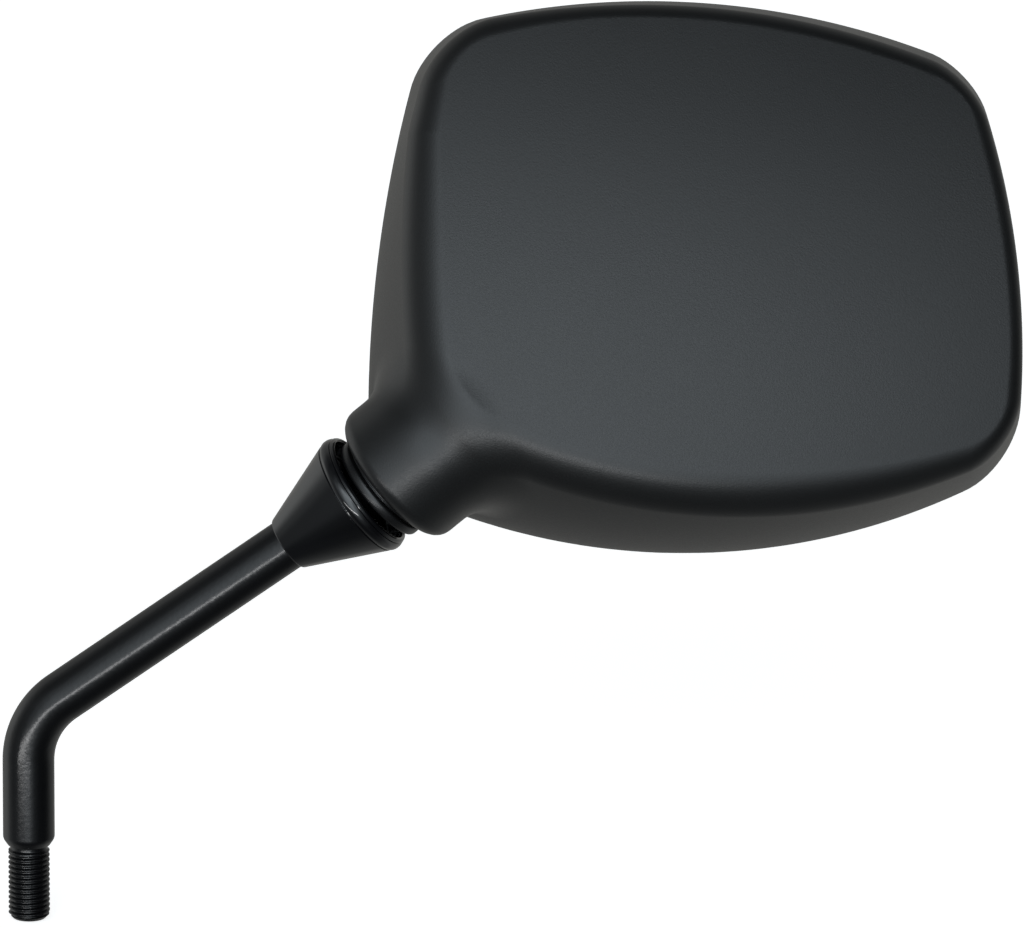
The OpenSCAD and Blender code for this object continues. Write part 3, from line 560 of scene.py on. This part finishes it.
# Floor: white where the camera sees it, with the object's shadow, and no light of its own on the object
FLOOR_HALF, FLOOR_Z = 6, -(THREAD_LEN + 0.2) * MM
floor_mesh = bpy.data.meshes.new("floor")
corners = [(x * FLOOR_HALF, y * FLOOR_HALF, FLOOR_Z) for x, y in ((-1, -1), (1, -1), (1, 1), (-1, 1))]
floor_mesh.from_pydata(corners, [], [(0, 1, 2, 3)])
add_object("floor", floor_mesh)
paper = bpy.data.materials.new("floor_white")
paper.use_nodes = True
nodes, links = paper.node_tree.nodes, paper.node_tree.links
nodes.clear()
matte = nodes.new("ShaderNodeBsdfDiffuse")
matte.inputs["Color"].default_value = (0.9, 0.9, 0.9, 1)
glow = nodes.new("ShaderNodeEmission")
glow.inputs["Strength"].default_value = 0.78
lit = nodes.new("ShaderNodeAddShader")
links.new(matte.outputs[0], lit.inputs[0])
links.new(glow.outputs[0], lit.inputs[1])
camera_switch(paper.node_tree, nodes.new("ShaderNodeBsdfTransparent"), lit, "ShaderNodeOutputMaterial")
floor_mesh.materials.append(paper)

# World: white where the camera sees it; for all other rays a studio, bright in front and darker round it
world = bpy.data.worlds.new("studio")
bpy.context.scene.world = world
world.use_nodes = True
nodes, links = world.node_tree.nodes, world.node_tree.links
nodes.clear()
way = nodes.new("ShaderNodeTexCoord").outputs["Generated"]


def along(direction):
    d = nodes.new("ShaderNodeVectorMath")
    d.operation = "DOT_PRODUCT"
    d.inputs[1].default_value = direction
    links.new(way, d.inputs[0])
    return d.outputs["Value"]


def curve(value, stops, low=(1, 1, 1), high=(1, 1, 1)):
    """Brightness by a value from -1 to 1, smooth between stops (value, brightness), tinted at both ends."""
    spread = nodes.new("ShaderNodeMapRange")
    spread.inputs["From Min"].default_value = -1
    spread.inputs["From Max"].default_value = 1
    links.new(value, spread.inputs["Value"])
    ramp = nodes.new("ShaderNodeValToRGB")
    ramp.color_ramp.interpolation = "EASE"
    while len(ramp.color_ramp.elements) < len(stops):
        ramp.color_ramp.elements.new(0.5)
    for e, (at, level) in zip(ramp.color_ramp.elements, stops):
        e.position = (at + 1) / 2
        e.color = (*[level * (a + (b - a) * e.position) for a, b in zip(low, high)], 1)
    links.new(spread.outputs["Result"], ramp.inputs["Fac"])
    return ramp.outputs["Color"]


def times(a, b):
    m = nodes.new("ShaderNodeVectorMath")
    m.operation = "MULTIPLY"
    links.new(a, m.inputs[0])
    links.new(b, m.inputs[1])
    return m.outputs["Vector"]


def seen_way(right, up, towards):
    """A unit direction from its parts as seen from the camera."""
    return (Vector((1, 0, 0)) * right + VIEW_UP * up + TOWARDS_CAMERA * towards).normalized()


by_front = curve(along(TOWARDS_CAMERA), ((-1, 0.30), (-0.4, 0.45), (0, 0.20), (0.2, 0.12), (0.5, 0.16),
                                         (0.72, 0.45), (0.84, 1.1), (0.92, 2.2), (1, 2.5)),
                 (1.0, 1.0, 0.96), (0.9, 1.0, 1.07))
by_height = curve(along(VIEW_UP), ((-1, 0.25), (-0.75, 0.5), (-0.5, 0.95), (0.05, 0.95), (0.25, 1.1),
                                   (0.55, 0.75), (1, 0.6)))
by_side = curve(along((1, 0, 0)), ((-1, 1.6), (-0.4, 0.95), (0, 1.0), (0.4, 1.15), (0.8, 0.8), (1, 0.35)))
shade_above = curve(along(seen_way(0.30, 0.75, 0.59)),
                    ((-1, 1), (0.82, 1), (0.90, 0.6), (0.94, 0.25), (1, 0.1)))
shade_right = curve(along(seen_way(0.75, -0.25, 0.60)),
                    ((-1, 1), (0.68, 1), (0.79, 0.6), (0.93, 0.3), (1, 0.25)))
studio = nodes.new("ShaderNodeBackground")
levels = times(times(times(by_front, by_height), by_side), times(shade_above, shade_right))
links.new(levels, studio.inputs["Color"])
white = nodes.new("ShaderNodeBackground")
white.inputs["Color"].default_value = (1, 1, 1, 1)
camera_switch(world.node_tree, studio, white, "ShaderNodeOutputWorld")


def aimed(name, data, way, distance):
    """An object at a distance from the target, turned to face it."""
    obj = add_object(name, data)
    obj.location = TARGET + way * distance
    obj.rotation_mode = "QUATERNION"
    obj.rotation_quaternion = (-way).to_track_quat("-Z", "Y")
    return obj


# A long low strip light, which draws the fine bright line on the rod
strip = bpy.data.lights.new("strip_low", "AREA")
strip.shape = "RECTANGLE"
strip.size, strip.size_y = 1.5, 0.10
strip.energy = 9.5 * strip.size * strip.size_y * pi
aimed("strip_low", strip, seen_way(-0.36, -0.49, 0.79), 1.5)

camera = bpy.data.cameras.new("camera")
camera.sensor_width = SENSOR
camera.lens = SENSOR * VIEW_DIST / FRAME_WIDTH
camera.clip_end = 100
bpy.context.scene.camera = aimed("camera", camera, TOWARDS_CAMERA, VIEW_DIST)
bpy.context.scene.view_settings.view_transform = "Standard"
